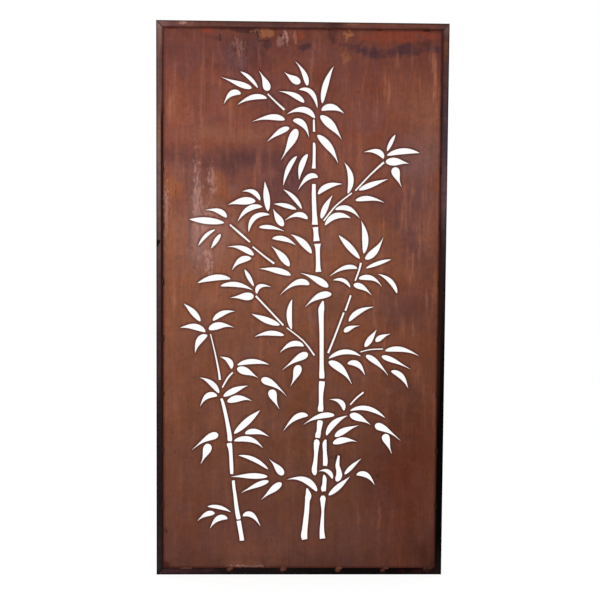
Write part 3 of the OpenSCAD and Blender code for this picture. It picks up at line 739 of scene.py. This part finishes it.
# Weld metal from the ground to the top of the screen. A mitre is ground flush and follows its tubes, their painted
# light and shade included.
WELD_TONES = {
    "mitre": [(0, 44, 34, 34), (600, 60, 40, 38), (1200, 90, 64, 60), (1800, 130, 100, 95)],
    "stitch": [(0, 116, 70, 56), (500, 96, 58, 46), (1000, 92, 56, 46), (1800, 124, 66, 52)],
    # The seam's near-black, darkest low down, is partly painted shade in the gap between sheet and tube
    "seam": [(0, 30, 12, 9), (900, 42, 17, 12), (1800, 64, 30, 24)],
}


def weld_finish(rust, kind):
    """Rusted weld metal, toned by height, with mottle, grain, patches of darker red-brown and painted shade towards
    both sides.
    """
    material, graph, shader = new_material("rusted_weld_" + kind, specular=0.06)
    place, _, across, _, height = object_place(graph)
    cloud = graph.use("mottle", place=place, cloud=0.012, start=(2.2, 0, 6.4))
    grain = graph.use("grain", place=place, grit=0.0011, pit=0.003)
    colour = graph.ramp(graph.math("DIVIDE", height, SCREEN_HEIGHT), up_the_screen(painted(WELD_TONES[kind])))
    colour = graph.vary(colour, cloud, 0.7, 1.3)
    # Painted shade: beads towards the right side are made much darker, and those along the left stile darker
    colour = graph.scale(colour, graph.span(across, 0.25, 0.45, 1.0, 0.35))
    colour = graph.scale(colour, graph.span(across, -0.42, -0.44, 1.0, 0.55))
    colour = graph.mix(graph.span(cloud, 0.35, 0.05, 0, 0.4), colour, rust.sheltered)
    colour = graph.vary(colour, grain["Tone"], 0.8, 1.2)
    graph.feed(shader.inputs["Base Color"], colour)
    graph.feed(shader.inputs["Roughness"], graph.span(grain["Tone"], 0, 1, 0.5, 0.8))
    bump(graph, shader, [(cloud, 0.25 * MM, 0.4), (grain["Height"], 0.12 * MM, 0.6)])
    return material


def finish_of(kind):
    """The material of that kind, built the first time that it is asked for."""
    if kind not in FINISHES:
        if not GROUPS:
            GROUPS.update({name: make() for name, make in GROUP_MAKERS.items()})
        rust = bpy.context.scene.screen_rust
        if kind in MEMBER_TONES:
            FINISHES[kind] = tube_finish(rust, kind)
        elif kind in WELD_TONES:
            FINISHES[kind] = weld_finish(rust, kind)
        else:
            FINISHES[kind] = sheet_finish(rust)
    return FINISHES[kind]


FINISHES = {}


# ---- pieces


def add_object(name, data):
    made = bpy.data.objects.new(name, data)
    bpy.context.scene.collection.objects.link(made)
    return made


def add_mesh(name, bm, material):
    """Turns a bmesh into an object of one material."""
    mesh = bpy.data.meshes.new(name)
    bm.to_mesh(mesh)
    bm.free()
    mesh.materials.append(material)
    return add_object(name, mesh)


def finished_piece(name, bm, kind, nodes):
    """Turns a bmesh into a piece that stands for its CAD nodes and rides with the screen."""
    piece = add_mesh(name, bm, finish_of(kind))
    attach(piece, "root")
    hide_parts(*nodes)
    return piece


def open_edges(bm):
    return [edge for edge in bm.edges if edge.is_boundary]


def edges_along(bm, axis):
    return [edge for edge in bm.edges
            if abs((edge.verts[1].co - edge.verts[0].co).normalized().dot(axis)) > NEARLY_PARALLEL]


def faces_across(bm, axis):
    return [face for face in bm.faces if abs(face.normal.dot(axis)) > NEARLY_PARALLEL]


def round_off(bm, edges, radius, steps):
    """Gives edges an arc, and returns its faces."""
    return bmesh.ops.bevel(bm, geom=edges, offset=radius, offset_type="OFFSET", segments=steps, profile=0.5,
                           affect="EDGES", material=-1)["faces"]


def cut_away(bm, point, outward):
    """Removes what lies on the outward side of a plane."""
    bmesh.ops.bisect_plane(bm, geom=[*bm.verts, *bm.edges, *bm.faces], dist=CUT_TOLERANCE, plane_co=point,
                           plane_no=outward, clear_outer=True)


def cut_flat(bm, *planes):
    """Cuts a solid at each plane, and closes each cut."""
    for point, outward in planes:
        cut_away(bm, point, outward)
        bmesh.ops.holes_fill(bm, edges=open_edges(bm), sides=0)


def settled(bm):
    """The same bmesh with its normals outward, and smooth but for its caps."""
    bmesh.ops.recalc_face_normals(bm, faces=bm.faces)
    for face in bm.faces:
        face.smooth = len(face.verts) < CAP_SIDES
    return bm


def join_into(bm, other):
    """Adds one bmesh to another."""
    carrier = bpy.data.meshes.new("carrier")
    other.to_mesh(carrier)
    other.free()
    bm.from_mesh(carrier)
    bpy.data.meshes.remove(carrier)


def mitre_plane(sign_x, sign_z):
    """A corner of the screen, and the way from its stile to its rail across the mitre."""
    corner = Vector((sign_x * HALF_WIDTH, 0, SCREEN_HEIGHT if sign_z > 0 else 0))
    return corner, Vector((-sign_x, 0, sign_z)).normalized()


def square_tube(sizes, low, high, along):
    """An open length of square tube with round corners and a wall."""
    bm = bmesh.new()
    bmesh.ops.create_cube(bm, size=1)
    bmesh.ops.scale(bm, verts=bm.verts, vec=high - low)
    bmesh.ops.translate(bm, verts=bm.verts, vec=(low + high) / 2)
    bmesh.ops.delete(bm, geom=faces_across(bm, along), context="FACES_ONLY")
    for face in round_off(bm, edges_along(bm, along), sizes.tube_radius, sizes.tube_steps):
        face.smooth = True
    bmesh.ops.recalc_face_normals(bm, faces=bm.faces)
    bmesh.ops.solidify(bm, geom=bm.faces, thickness=sizes.tube_wall)
    bmesh.ops.delete(bm, geom=faces_across(bm, along), context="FACES_ONLY")
    return bm


def mitred_tube(sizes, node, along, ends):
    """One member of the frame, cut at both mitres, with the wall closed at each cut."""
    low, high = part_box(node)
    low, high = Vector(low), Vector(high)
    axis = 2 if along.z > 0.5 else 0
    low[axis], high[axis] = (0, SCREEN_HEIGHT) if axis == 2 else (-HALF_WIDTH, HALF_WIDTH)
    bm = square_tube(sizes, low, high, along)
    for sign_x, sign_z in ends:
        corner, to_rail = mitre_plane(sign_x, sign_z)
        outward = to_rail if axis == 2 else -to_rail
        point = corner - outward * sizes.mitre_gap / 2
        cut_away(bm, point, outward)
        rim = [edge for edge in open_edges(bm)
               if all(abs((vert.co - point).dot(outward)) < SAME_PLACE for vert in edge.verts)]
        bmesh.ops.bridge_loops(bm, edges=rim)
    bmesh.ops.recalc_face_normals(bm, faces=bm.faces)
    return bm


def rippled_bead(bm, length, ripples, depth, chance, sides=14, rings=6):
    """A unit weld bead along Z, in overlapping crescents of no one size. X is across it and Y is up."""
    made = bmesh.ops.create_circle(bm, cap_ends=True, radius=BEAD_TIP, segments=sides)
    new = list(made["verts"])
    tip = new[0].link_faces[0]
    steps = ripples * rings
    lumps = [chance.uniform(LEAST_LUMP, 1) for _ in range(ripples + 1)]
    size = BEAD_TIP
    for step in range(1, steps + 1):
        share = step / steps
        before = min(int(share * ripples), ripples - 1)
        lump = lumps[before] + (lumps[before + 1] - lumps[before]) * (share * ripples - before)
        coin = math.sqrt(abs(math.sin(math.pi * share * ripples)))
        from_end = min(share, 1 - share) * length / BEAD_TAPER
        end = min(1.0, BEAD_TIP + math.sqrt(from_end))
        wanted = max(BEAD_TIP, end * lump * (1 - depth * (1 - coin)))
        pushed = bmesh.ops.extrude_face_region(bm, geom=[tip])["geom"]
        tip = next(part for part in pushed if isinstance(part, bmesh.types.BMFace))
        ring = list(tip.verts)
        bmesh.ops.scale(bm, verts=ring, vec=Vector((wanted / size, wanted / size, 1)))
        bmesh.ops.translate(bm, verts=ring, vec=Vector((0, 0, length / steps)))
        size = wanted
        new += ring
    for vert in new:
        vert.co.z += length / ripples * CRESCENT * (vert.co.x ** 2 - 0.5)
    return new


def lay(bm, verts, origin, across, up, along, reach, rise):
    """Stretches a unit bead to its size and lays it in its place."""
    turn = Matrix((across * reach, up * rise, along)).transposed().to_4x4()
    bmesh.ops.transform(bm, matrix=Matrix.Translation(origin) @ turn, verts=verts)


def stitch_places(node, axis):
    """Where each bead in a row of stitch welds begins and ends, read from the frame."""
    places = sorted(vert.co[axis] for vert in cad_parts[node].data.vertices)
    runs = [[places[0], places[0]]]
    for place in places:
        if place - runs[-1][1] > STITCH_GAP:
            runs.append([place, place])
        runs[-1][1] = place
    return runs


def stitch_row(sizes, side, chance):
    """A row of fillet beads from the sheet's front over the tube's inner corner."""
    node = "stitch_welds_" + side
    outward = SIDES[side]
    low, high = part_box(node)
    along = X_AXIS if outward.x == 0 else Z_AXIS
    axis = 0 if outward.x == 0 else 2
    leg = abs((high - low).dot(outward))
    root = (low + high) / 2 + outward * leg / 2
    root.y = high.y
    bm = bmesh.new()
    for start, end in stitch_places(node, axis):
        length = end - start
        ripples = max(FEWEST_RIPPLES, round(length / sizes.ripple_pitch) + chance.choice((-1, 0, 0, 1)))
        one = bmesh.new()
        verts = rippled_bead(one, length, ripples, sizes.ripple_depth, chance)
        origin = root + outward * sizes.stitch_lap
        origin[axis] = start
        size = chance.uniform(LEAST_LUMP, 1)
        lay(one, verts, origin, -outward, -Y_AXIS, along, (leg + sizes.stitch_lap) * size, sizes.stitch_rise * size)
        cut_flat(one, (origin, outward), (root + Y_AXIS * BEAD_SINK, Y_AXIS))
        join_into(bm, settled(one))
    return bm


def packed_seam(sizes, side, chance):
    """The rust that fills the gap between the sheet's edge and one tube, near black as partly painted shade in that
    gap.
    """
    outward = SIDES[side]
    along = X_AXIS if outward.x == 0 else Z_AXIS
    middle, half = (SHEET_LOW + SHEET_HIGH) / 2, (SHEET_HIGH - SHEET_LOW) / 2
    tube_face = HALF_WIDTH - TUBE_SIDE
    gap = tube_face - SHEET_HIGH.x
    length = 2 * abs(half.dot(along)) + SEAM_OVERRUN
    origin = middle + outward * (abs(half.dot(outward)) + gap / 2) - along * length / 2
    bm = bmesh.new()
    verts = rippled_bead(bm, length, round(length / SEAM_PITCH), 0.2, chance, sides=8, rings=3)
    lay(bm, verts, origin, outward, Y_AXIS, along, sizes.seam_reach, sizes.seam_reach)
    return settled(bm)


def corner_weld(sizes, node):
    """The metal in one mitre's gap, with a low dressed bead over it in front and behind."""
    sign_x, sign_z = CORNER_SIGNS[node]
    _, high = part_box(node)
    crown = high.y - HALF_TUBE
    corner, to_rail = mitre_plane(sign_x, sign_z)
    inward = Vector((-sign_x, 0, -sign_z)).normalized()
    diagonal = (TUBE_SIDE + crown) * math.sqrt(2)
    bm = bmesh.new()
    bmesh.ops.create_cube(bm, size=1)
    corners = edges_along(bm, Z_AXIS)
    turn = Matrix((inward * diagonal, Y_AXIS * 2 * high.y, to_rail * sizes.mitre_gap)).transposed().to_4x4()
    bmesh.ops.transform(bm, matrix=Matrix.Translation(corner + inward * diagonal / 2) @ turn, verts=bm.verts)
    round_off(bm, corners, sizes.tube_radius, 5)
    length = diagonal - sizes.tube_radius * BEAD_INSET
    chance = random.Random(node)
    for side in (-1, 1):
        one = bmesh.new()
        ripples = round(length / sizes.ripple_pitch)
        verts = rippled_bead(one, length, ripples, sizes.ripple_depth, chance, sides=12)
        origin = corner + inward * sizes.tube_radius * BEAD_INSET + Y_AXIS * side * HALF_TUBE
        lay(one, verts, origin, to_rail, Y_AXIS * side, inward, sizes.corner_bead / 2, crown)
        join_into(bm, settled(one))
    cut_flat(bm, (corner, X_AXIS * sign_x), (corner, Z_AXIS * sign_z))
    return settled(bm)


# ---- operators


class SCREENMAKER_OT_sheet(bpy.types.Operator):
    """Rust the cut sheet"""

    bl_idname = "screenmaker.sheet"
    bl_label = "Cut sheet"

    def execute(self, context):
        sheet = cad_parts["screen_sheet"]
        sheet.data.materials.clear()
        sheet.data.materials.append(finish_of("sheet"))
        return {"FINISHED"}


class SCREENMAKER_OT_tubes(bpy.types.Operator):
    """Build the four mitred tubes of the frame"""

    bl_idname = "screenmaker.tubes"
    bl_label = "Frame tubes"

    def execute(self, context):
        sizes = context.scene.screen_sizes
        members = {
            "frame_stile_left": (Z_AXIS, [(-1, -1), (-1, 1)]),
            "frame_stile_right": (Z_AXIS, [(1, -1), (1, 1)]),
            "frame_rail_top": (X_AXIS, [(-1, 1), (1, 1)]),
            "frame_rail_bottom": (X_AXIS, [(-1, -1), (1, -1)]),
        }
        for node, (along, ends) in members.items():
            bm = mitred_tube(sizes, node, along, ends)
            finished_piece(node.replace("frame_", "tube_"), bm, node, [node])
        return {"FINISHED"}


class SCREENMAKER_OT_corner_welds(bpy.types.Operator):
    """Fill the four mitres with weld metal"""

    bl_idname = "screenmaker.corner_welds"
    bl_label = "Corner welds"

    def execute(self, context):
        for node in CORNER_SIGNS:
            bm = corner_weld(context.scene.screen_sizes, node)
            finished_piece(node.replace("corner_weld", "mitre_bead"), bm, "mitre", [node])
        return {"FINISHED"}


class SCREENMAKER_OT_stitch_welds(bpy.types.Operator):
    """Lay the rows of short beads that hold the sheet in the frame, and the rust in the seams beside them"""

    bl_idname = "screenmaker.stitch_welds"
    bl_label = "Stitch welds"

    def execute(self, context):
        sizes = context.scene.screen_sizes
        for seed, side in enumerate(SIDES):
            chance = random.Random(seed)
            node = "stitch_welds_" + side
            finished_piece("stitch_beads_" + side, stitch_row(sizes, side, chance), "stitch", [node])
            finished_piece("seam_rust_" + side, packed_seam(sizes, side, chance), "seam", [node])
        return {"FINISHED"}


class SCREENMAKER_OT_studio(bpy.types.Operator):
    """Set the floor, the lights, the white surroundings and the camera"""

    bl_idname = "screenmaker.studio"
    bl_label = "Studio"

    def execute(self, context):
        stage = context.scene.screen_stage
        lay_floor(stage)
        light_sky(stage)
        hang_lamps(stage)
        place_camera(context.scene)
        context.scene.view_settings.view_transform = "Standard"
        return {"FINISHED"}


# ---- studio


def seen_straight(graph):
    """1 where the eye, a reflection or clear glass looks straight at a surface, and 0 for light that scatters."""
    path = graph.node("LightPath").outputs
    return graph.math("MAXIMUM", graph.math("MAXIMUM", path["Is Camera Ray"], path["Is Glossy Ray"]),
                      path["Is Transmission Ray"])


def lay_floor(stage):
    material = bpy.data.materials.new("pale_floor")
    material.use_nodes = True
    graph = Graph(material.node_tree)
    graph.tree.nodes.remove(graph.tree.nodes["Principled BSDF"])
    paper = graph.fill(graph.node("BsdfDiffuse"), Color=(stage.floor_tone,) * 3).outputs[0]
    thin = graph.fill(graph.node("BsdfDiffuse"), Color=(FLOOR_BOUNCE,) * 3).outputs[0]
    glow = graph.fill(graph.node("Emission"), Strength=FLOOR_GLOW).outputs[0]
    lit = graph.fill(graph.node("AddShader"), thin, glow).outputs[0]
    either = graph.fill(graph.node("MixShader"), seen_straight(graph), paper, lit).outputs[0]
    graph.feed(graph.tree.nodes["Material Output"].inputs["Surface"], either)
    bm = bmesh.new()
    bmesh.ops.create_grid(bm, x_segments=2, y_segments=2, size=stage.floor_side / 2)
    floor = add_mesh("studio_floor", bm, material)


def light_sky(stage):
    world = bpy.data.worlds.new("white_surroundings")
    world.use_nodes = True
    bpy.context.scene.world = world
    graph = Graph(world.node_tree)
    strength = graph.blend(seen_straight(graph), stage.sky_light, 1.0)
    graph.fill(graph.tree.nodes["Background"], Color=(1, 1, 1), Strength=strength)


def hang_lamps(stage):
    """Two large soft lamps in front of the screen, each turned to its middle."""
    aim = Vector((0, 0, SCREEN_HEIGHT / 2))
    lamps = {
        "key_lamp": (stage.key_light, Vector((-1.9, -3.2, 2.9)), 1.8),
        "fill_lamp": (stage.fill_light, Vector((2.4, -3.0, 1.6)), 2.2),
    }
    for name, (power, place, side) in lamps.items():
        lamp = bpy.data.lights.new(name, "AREA")
        lamp.energy = power
        lamp.shape = "SQUARE"
        lamp.size = side
        hung = add_object(name, lamp)
        hung.location = place
        hung.rotation_euler = (aim - place).to_track_quat("-Z", "Y").to_euler()


# The camera, as the photograph was taken: how far off, from which side and height, and how it leans
CAMERA_DISTANCE = 3.2631
CAMERA_AZIMUTH = math.radians(-1.351)
CAMERA_ELEVATION = math.radians(3.304)
CAMERA_ROLL = math.radians(0.423)
CAMERA_AIM = Vector((-0.0042, 0, 0.9078))
PICTURE_WIDTH = 600
LENS_IN_PIXELS = 1001.3


def place_camera(scene):
    back = Vector((math.sin(CAMERA_AZIMUTH) * math.cos(CAMERA_ELEVATION),
                   -math.cos(CAMERA_AZIMUTH) * math.cos(CAMERA_ELEVATION), math.sin(CAMERA_ELEVATION)))
    right = (-back).cross(Z_AXIS).normalized()
    up = right.cross(-back)
    leaning_right = right * math.cos(CAMERA_ROLL) + up * math.sin(CAMERA_ROLL)
    leaning_up = up * math.cos(CAMERA_ROLL) - right * math.sin(CAMERA_ROLL)
    data = bpy.data.cameras.new("photograph")
    data.lens = data.sensor_width * LENS_IN_PIXELS / PICTURE_WIDTH
    camera = add_object("photograph", data)
    turn = Matrix((leaning_right, leaning_up, back)).transposed().to_4x4()
    camera.matrix_world = Matrix.Translation(CAMERA_AIM + back * CAMERA_DISTANCE) @ turn
    scene.camera = camera


# ---- panel


class SCREENMAKER_PT_panel(bpy.types.Panel):
    """Everything that this file makes, in the order in which it is made"""

    bl_idname = "SCREENMAKER_PT_panel"
    bl_label = "Garden screen"
    bl_space_type = "VIEW_3D"
    bl_region_type = "UI"
    bl_category = "Screen"

    def draw(self, context):
        for operator in MAKERS:
            self.layout.operator(operator.bl_idname)
        for name in SETTINGS:
            box = self.layout.box()
            group = getattr(context.scene, name)
            for setting in group.bl_rna.properties:
                if setting.identifier not in ("rna_type", "name"):
                    box.prop(group, setting.identifier)


SETTINGS = {"screen_sizes": ScreenSizes, "screen_rust": RustColours, "screen_stage": StageSettings}
MAKERS = (SCREENMAKER_OT_studio, SCREENMAKER_OT_sheet, SCREENMAKER_OT_tubes, SCREENMAKER_OT_corner_welds,
          SCREENMAKER_OT_stitch_welds)


def register():
    for name, settings in SETTINGS.items():
        bpy.utils.register_class(settings)
        setattr(bpy.types.Scene, name, bpy.props.PointerProperty(type=settings))
    for maker in (*MAKERS, SCREENMAKER_PT_panel):
        bpy.utils.register_class(maker)


def unregister():
    for maker in (SCREENMAKER_PT_panel, *reversed(MAKERS)):
        bpy.utils.unregister_class(maker)
    for name, settings in SETTINGS.items():
        delattr(bpy.types.Scene, name)
        bpy.utils.unregister_class(settings)


def main():
    register()
    bpy.ops.screenmaker.studio()
    bpy.ops.screenmaker.sheet()
    bpy.ops.screenmaker.tubes()
    bpy.ops.screenmaker.corner_welds()
    bpy.ops.screenmaker.stitch_welds()


if __name__ == "__main__":
    main()
